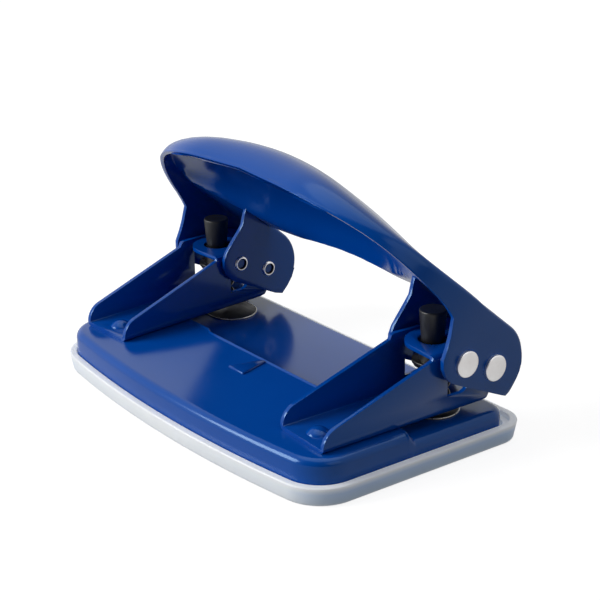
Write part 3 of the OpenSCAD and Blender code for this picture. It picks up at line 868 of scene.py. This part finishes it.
class PUNCH_OT_lever(bpy.types.Operator):
    """Pressed lever: bulged grip, arch, wings and ears from one sheet"""

    bl_idname = "punch.lever"
    bl_label = "Lever"

    # everything here is in millimetres in the plane of the front face:
    # u along the punch, v down the face, w out of it
    half_length, ear, arch, side_v, front_v = 49.9, 30.5, 36.0, -11.0, -5.0
    corner_u, fullness = 15.2, 2.16
    nose_v, nose_r, nose_end = 0.85, 9.75, 26.0
    grip_end, grip_high, grip_foot, grip_spread = 51.7, 10.05, -4.6, 9.0
    ridge_bend, nose_bend = 0.5, 0.25
    wing_rows, bend_rows, face_rows, ear_rows = 7, 7, 26, 9
    # how far the front edge is lifted at each u
    LIFT = (
        (0, 0.65), (4, 0.75), (8, 0.9), (13, 0.72), (18, 0.55), (24, 0.42),
        (30.5, 0.25), (36, 0.0), (60, 0.0),
    )
    # height of the rear edge at each length along the outline, up to the wing
    REAR_EDGE = (
        (0, 1.1), (14.6, 0.3), (21, -0.15), (26.7, -0.5), (32.2, -0.75), (37.6, -1.1), (42.9, -1.65),
        (48.2, -2.5), (53.6, -3.5), (59.2, -4.6), (62.0, -5.35), (63.8, -5.95), (65.0, -6.55),
        (66.2, -7.6),
    )
    WING_V = -16.7  # where the wing begins
    # rear edges of a wing and of an ear up to their round heels, then both toes: v, w
    WING_REAR = ((-16.5, -7.6), (-15.6, -8.7), (-14.7, -10.3), (-14.1, -12.0))
    EAR_REAR = ((-14.4, -1.0), (-14.2, -1.8), (-12.9, -3.2), (-12.5, -4.6), (-12.5, -8.0))
    TOE = (
        (9.2, -13.45), (9.9, -13.2), (10.25, -12.7), (10.4, -11.3), (10.3, -8.6), (10.05, -7.0),
        (9.42, -5.6),
    )

    def execute(self, context):
        points, faces = self.skin()
        lever = sheet_from("lever_sheet", points, faces)
        top = Vector(self.place(1, -30, 9))
        crown = min(lever.data.polygons, key=lambda f: (f.center - top).length)
        if crown.normal.z < 0:
            lever.data.flip_normals()
        sheet, sharp = context.scene.punch_lever.sheet, math.radians(60)
        press(lever, "SOLIDIFY", thickness=sheet, offset=-1, use_even_offset=False)
        press(lever, "BEVEL", width=0.00022, segments=2, limit_method="ANGLE", angle_limit=sharp)
        smooth(lever, 60)
        fit(lever, "lever", ["lever"], material("blue_enamel"))
        return {"FINISHED"}

    def place(self, u, v, w):
        s = bpy.context.scene.punch_lever
        c, d = math.cos(s.angle), math.sin(s.angle)
        return (u * MM, s.face_y + (v * c + w * d) * MM, s.face_z + (-v * d + w * c) * MM)

    def out_v(self, u):
        """Where the outline lies at u: flat ridge, then a full rounded corner."""
        run = max(0.0, abs(u) - self.corner_u) / (self.half_length - self.corner_u)
        return self.side_v - self.arch * (1 - min(1.0, run) ** self.fullness) ** (1 / self.fullness)

    def out_u(self, v):
        wide = self.half_length - self.corner_u
        rise = clamp((self.side_v - v) / self.arch)
        return self.corner_u + wide * (1 - rise**self.fullness) ** (1 / self.fullness)

    def grip(self, u, v):
        """Height of the bulged grip over the flat face: full towards the ridge, thin at its foot."""
        a = abs(u)
        top = self.out_v(u)
        foot = max(self.grip_foot - self.grip_spread * (a / self.ear) ** 2.2, top + 6)
        k = (v - top) / (foot - top)
        if a >= self.grip_end or k <= 0 or k >= 1:
            return 0.0
        along, across = (1 - (a / self.grip_end) ** 2) ** 1.54, 1 - abs(2 * k**0.69 - 1) ** 3.47
        return self.grip_high * along * across

    def rise(self, u, v):
        """How far the front edge is lifted over the face, least beyond the ears."""
        near = clamp((v + 17) / 12)
        return self.between(self.LIFT, abs(u)) * near * near * (3 - 2 * near)

    @staticmethod
    def between(table, x):
        """Value at x on a line through the table's points."""
        for (a, fa), (b, fb) in zip(table, table[1:]):
            if x <= b:
                return fa + (fb - fa) * (x - a) / (b - a)
        return table[-1][1]

    def foot_path(self, rear, heel, heel_r):
        """Lower outline of a wing or ear: rear edge, round heel, toe and up the front."""
        path = list(rear)
        for i in range(13):
            a = math.radians(180 + 106 * i / 12)
            path.append((heel[0] + heel_r * math.cos(a), heel[1] + heel_r * math.sin(a)))
        return path + list(self.TOE)

    @staticmethod
    def along(path, k):
        """Point at share k of a path's length."""
        runs = [math.dist(a, b) for a, b in zip(path, path[1:])]
        goal = k * sum(runs)
        for (a, b), run in zip(zip(path, path[1:]), runs):
            if goal <= run or b is path[-1]:
                f = min(1.0, goal / run)
                return (a[0] + (b[0] - a[0]) * f, a[1] + (b[1] - a[1]) * f)
            goal -= run

    def stations(self):
        """Outline from the ridge's middle to the nose: kind, u, v, direction outwards in degrees."""
        wide, side, front = self.half_length, self.side_v, self.front_v
        lines = [("span", self.corner_u * i / 6, side - self.arch, -90.0) for i in range(6)]
        for i in range(34):
            a = math.radians(-90 + 90 * i / 34)
            u = self.corner_u + (wide - self.corner_u) * math.cos(a) ** (2 / self.fullness)
            v = side - self.arch * (-math.sin(a)) ** (2 / self.fullness)
            lines.append(("span", u, v, math.degrees(a)))
        lines += [("span", wide, side + (front - side) * i / 4, 0.0) for i in range(4)]
        lines += [("leg", wide, front + (self.nose_v - front) * i / 8, 90.0) for i in range(8)]
        lines.append(("leg", wide, self.nose_v, 90.0))
        for i in range(1, 13):
            lines.append(("nose", wide, self.nose_v, 90.0 - (90.0 - self.nose_end) * i / 12))
        return lines

    def under(self, station, depth):
        """v and w of a leg or nose at some depth under its outer surface."""
        kind, _, v, degrees = station
        if kind != "nose":
            return (v, -depth)
        a, r = math.radians(degrees), self.nose_r - depth
        return (self.nose_v + r * math.cos(a), -self.nose_r + r * math.sin(a))

    def bend_radius(self, station):
        """Radius between wing and face: tight at the ridge and the nose, full at the legs."""
        kind, _, v, a = station
        full = bpy.context.scene.punch_lever.outer_bend
        rho = self.ridge_bend + (full - self.ridge_bend) * clamp((v + 40) / 30)
        if kind == "nose":
            rho += (self.nose_bend - rho) * max(0.0, (50 - a) / (50 - self.nose_end))
        return rho

    def span_row(self, station, rho, edge, inner):
        """Bend and face from the outline to a place on the front edge, along a curve square to both."""
        _, u, v, a = station
        n = (math.cos(math.radians(a)), math.sin(math.radians(a)))
        if -90 < a < 0:
            wide, e = self.half_length - self.corner_u, self.fullness
            grow = ((u - self.corner_u) / wide) ** (e - 1) / wide
            climb = ((self.side_v - v) / self.arch) ** (e - 1) / self.arch
            n = (grow / math.hypot(grow, climb), -climb / math.hypot(grow, climb))
        pull = 0.4
        span = math.dist((u, v), (inner, self.front_v))
        c1 = (u - n[0] * span * pull, v - n[1] * span * pull)
        c2 = (inner, self.front_v - min(span * pull, abs(self.front_v - v) * 0.5 + 0.05))
        bend_end = rho / (3 * pull * span)
        shares = []
        for i in range(self.bend_rows):
            phi = math.pi / 2 * i / self.bend_rows
            shares.append(rho * (1 - math.cos(phi)) / (3 * pull * span))
        for i in range(self.face_rows + 1):
            shares.append(bend_end + (1 - bend_end) * (i / self.face_rows) ** 1.5)
        row = []
        for t in shares:
            b0, b1, b2, b3 = (1 - t) ** 3, 3 * t * (1 - t) ** 2, 3 * t * t * (1 - t), t**3
            pu = u * b0 + c1[0] * b1 + c2[0] * b2 + inner * b3
            pv = v * b0 + c1[1] * b1 + c2[1] * b2 + self.front_v * b3
            away = math.hypot(pu - u, pv - v)
            short = rho - min(away, rho) if t <= bend_end else 0.0
            drop = rho - math.sqrt(max(0.0, rho * rho - short * short))
            high = self.grip(pu, pv) + self.rise(pu, pv) - drop
            # never far under a line that falls from the rear edge, with a soft change
            gap = high - (edge - 0.5 * away)
            high = high - gap + 0.5 * (gap + math.sqrt(gap * gap + 0.16 * min(1.0, away)))
            row.append(self.place(pu, pv, high))
        return row

    def leg_row(self, station, rho, ear_u, fade):
        """Bend and face of a leg, straight across to the ear."""
        _, u, v, _ = station
        row = []
        for i in range(self.bend_rows):
            phi = math.pi / 2 * i / self.bend_rows
            depth = rho * (1 - math.sin(phi))
            row.append(self.place(u - rho * (1 - math.cos(phi)), *self.under(station, depth)))
        for i in range(self.face_rows + 1):
            uu = u - rho + (ear_u - (u - rho)) * i / self.face_rows
            lift = self.grip(uu, v) + self.rise(uu, v)
            row.append(self.place(uu, *self.under(station, -lift * fade)))
        return row

    def ear_row(self, station, ear_u, fade, goal, under_grip):
        """Bend into the ear, then the ear down to its outline at goal."""
        ri = ear_u - self.ear
        g = self.rise(ear_u, station[2]) * fade
        row = []
        for i in range(1, self.bend_rows + 1):
            phi = math.pi / 2 * i / self.bend_rows
            depth = ri * (1 - math.cos(phi)) - g * (1 - i / self.bend_rows)
            row.append(self.place(ear_u - ri * math.sin(phi), *self.under(station, depth)))
        start = self.under(station, ri)
        for i in range(1, self.ear_rows + 1):
            k = i / self.ear_rows
            vv = start[0] + (goal[0] - start[0]) * k
            ww = start[1] + (goal[1] - start[1]) * k
            if under_grip:
                ww = max(ww, self.grip(self.ear + 0.5, vv) - 0.8 - 1.2 * (1 - k) ** 3)
            row.append(self.place(self.ear, vv, ww))
        return row

    def skin(self):
        """Outer surface of the whole lever, one row of points for each station of the outline."""
        lines = self.stations()
        spans = sum(1 for line in lines if line[0] == "span")
        # length travelled along the spans' outline
        travel = [0.0]
        for a, b in zip(lines[:spans], lines[1:]):
            travel.append(travel[-1] + math.dist(a[1:3], b[1:3]))
        # how far down a wing or an ear each station stands: v, then on round the nose
        tops = [v + self.nose_r * math.radians(90 - a) if k == "nose" else v for k, _, v, a in lines]
        first = next(i for i, top in enumerate(tops) if top > self.WING_V)
        before, last = tops[first - 1], tops[-1]
        wing = self.foot_path(self.WING_REAR, (-8.2, -11.9), 5.95)
        ear = self.foot_path(self.EAR_REAR, (-7.0, -11.8), 5.5)
        ear_u = self.ear + bpy.context.scene.punch_lever.inner_bend
        grid, ears = [], []
        for index, station in enumerate(lines):
            kind, u, v, _ = station
            rho = self.bend_radius(station)
            edge = -rho
            if index < first:
                end = self.REAR_EDGE[-1][0]
                low = self.between(self.REAR_EDGE, travel[index] * end / travel[first])
                edge = max(edge, low + 0.4)
                bottom = (v, low)
            else:
                bottom = self.along(wing, (tops[index] - before) / (last - before))
            start = (v, edge) if kind == "span" else self.under(station, rho)
            row = []
            for i in range(self.wing_rows):
                k = i / self.wing_rows
                vv = bottom[0] + (start[0] - bottom[0]) * k
                ww = bottom[1] + (start[1] - bottom[1]) * k
                row.append(self.place(u if index < first else self.out_u(vv), vv, ww))
            if kind == "span":
                inner = ear_u * (travel[index] / travel[spans]) ** 1.15
                row += self.span_row(station, rho, edge, inner)
            else:
                fade = (self.nose_v - v) / (self.nose_v - self.front_v)
                row += self.leg_row(station, rho, ear_u, fade)
                goal = self.along(ear, (tops[index] - self.front_v) / (last - self.front_v))
                ears.append(self.ear_row(station, ear_u, fade, goal, index == spans))
            grid.append(row)
        return self.sewn(grid, ears, spans)

    def sewn(self, grid, ears, spans):
        """Points and faces of both halves, with their shared points joined."""
        mesh = bmesh.new()
        for sign in (1, -1):
            body, ear_rows = (
                [[mesh.verts.new((sign * x, y, z)) for x, y, z in row] for row in rows]
                for rows in (grid, ears)
            )

            def quad(*corners):
                mesh.faces.new(corners if sign > 0 else corners[::-1])

            for a, b in zip(body, body[1:]):
                for j in range(len(a) - 1):
                    quad(a[j], b[j], b[j + 1], a[j + 1])
            for i, (a, b) in enumerate(zip(ear_rows, ear_rows[1:])):
                quad(body[spans + i][-1], body[spans + i + 1][-1], b[0], a[0])
                for j in range(len(a) - 1):
                    quad(a[j], b[j], b[j + 1], a[j + 1])
        bmesh.ops.remove_doubles(mesh, verts=mesh.verts, dist=2e-6)
        mesh.verts.index_update()
        points = [tuple(v.co) for v in mesh.verts]
        faces = [tuple(v.index for v in f.verts) for f in mesh.faces]
        mesh.free()
        return points, faces


class PUNCH_OT_rivets(bpy.types.Operator):
    """Flat-headed lever rivets with rolled inner ends"""

    bl_idname = "punch.rivets"
    bl_label = "Lever Rivets"

    def execute(self, context):
        for side, sign in SIDES.items():
            for kind in ("pivot", "drive"):
                node = f"{kind}_rivet_{side}"
                low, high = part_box(node)
                y, z = (low.y + high.y) / 2, (low.z + high.z) / 2
                inner, outer = sorted((abs(low.x), abs(high.x)))
                self.turn(node, sign, y, z, inner, outer, 0.0016 if kind == "pivot" else 0.0015)
        return {"FINISHED"}

    def turn(self, node, sign, y, z, inner, outer, shank):
        """Spin the rivet's half profile round its axis: flat head, shank, rolled end, bore."""
        head, lip, bore, blind = 0.003, 0.0019, 0.0011, 0.0034
        rim, domed, roll, thick = 0.0003, 0.00003, 0.0005, 0.0009
        profile = [(outer, 0.0), (outer, 0.0012), (outer - domed, 0.0022)]
        for i in range(5):
            a = math.pi / 2 * i / 4
            profile.append((outer - rim + (rim - domed) * math.cos(a), head - rim + rim * math.sin(a)))
        profile += [(outer - thick, head - 0.00005), (outer - thick, shank), (inner + 0.0006, shank)]
        middle, half = (lip + bore) / 2, (lip - bore) / 2
        for i in range(9):
            a = math.pi * i / 8
            profile.append((inner + roll - roll * math.sin(a), middle + half * math.cos(a)))
        profile += [(inner + 0.0028, bore), (inner + blind, 0.0004), (inner + blind, 0.0)]
        n = 48
        points = []
        for x, r in profile:
            for k in range(n):
                a = math.tau * k / n
                points.append((sign * x, y + r * math.cos(a), z + r * math.sin(a)))
        faces = quads(len(profile), n)
        rivet = sheet_from(node + "_turned", points, faces)
        # the bore attribute marks the inside of the rolled end and the bore, where the nickel gets
        # painted shade
        dark = rivet.data.attributes.new("bore", "FLOAT", "POINT")
        inside = len(profile) - 7  # first ring of the roll's inner side
        dark.data.foreach_set("value", [1.0 if i // n >= inside else 0.0 for i in range(len(points))])
        shape = bmesh.new()
        shape.from_mesh(rivet.data)
        bmesh.ops.remove_doubles(shape, verts=shape.verts, dist=1e-7)
        bmesh.ops.recalc_face_normals(shape, faces=shape.faces)
        shape.to_mesh(rivet.data)
        shape.free()
        smooth(rivet, 40)
        fit(rivet, "lever", [node], material("nickel_plate"))


class PUNCH_PT_panel(bpy.types.Panel):
    """Buttons for every piece of the punch"""

    bl_label = "Paper Punch"
    bl_idname = "PUNCH_PT_panel"
    bl_space_type = "VIEW_3D"
    bl_region_type = "UI"
    bl_category = "Punch"

    def draw(self, context):
        for operator in OPERATORS:
            self.layout.operator(operator.bl_idname)


OPERATORS = (
    PUNCH_OT_stage,
    PUNCH_OT_tray,
    PUNCH_OT_base,
    PUNCH_OT_softened,
    PUNCH_OT_springs,
    PUNCH_OT_lever,
    PUNCH_OT_rivets,
)
GROUPS = {
    "punch_base": PunchBaseSettings,
    "punch_lever": PunchLeverSettings,
    "punch_finish": PunchFinishSettings,
    "punch_stage": PunchStageSettings,
}


def register():
    for name, group in GROUPS.items():
        bpy.utils.register_class(group)
        setattr(bpy.types.Scene, name, bpy.props.PointerProperty(type=group))
    for operator in OPERATORS:
        bpy.utils.register_class(operator)
    bpy.utils.register_class(PUNCH_PT_panel)


def unregister():
    bpy.utils.unregister_class(PUNCH_PT_panel)
    for operator in reversed(OPERATORS):
        bpy.utils.unregister_class(operator)
    for name, group in GROUPS.items():
        delattr(bpy.types.Scene, name)
        bpy.utils.unregister_class(group)


def main():
    register()
    clear_selection()
    bpy.ops.punch.stage()
    bpy.ops.punch.tray()
    bpy.ops.punch.base()
    bpy.ops.punch.softened()
    bpy.ops.punch.springs()
    bpy.ops.punch.lever()
    bpy.ops.punch.rivets()


if __name__ == "__main__":
    main()
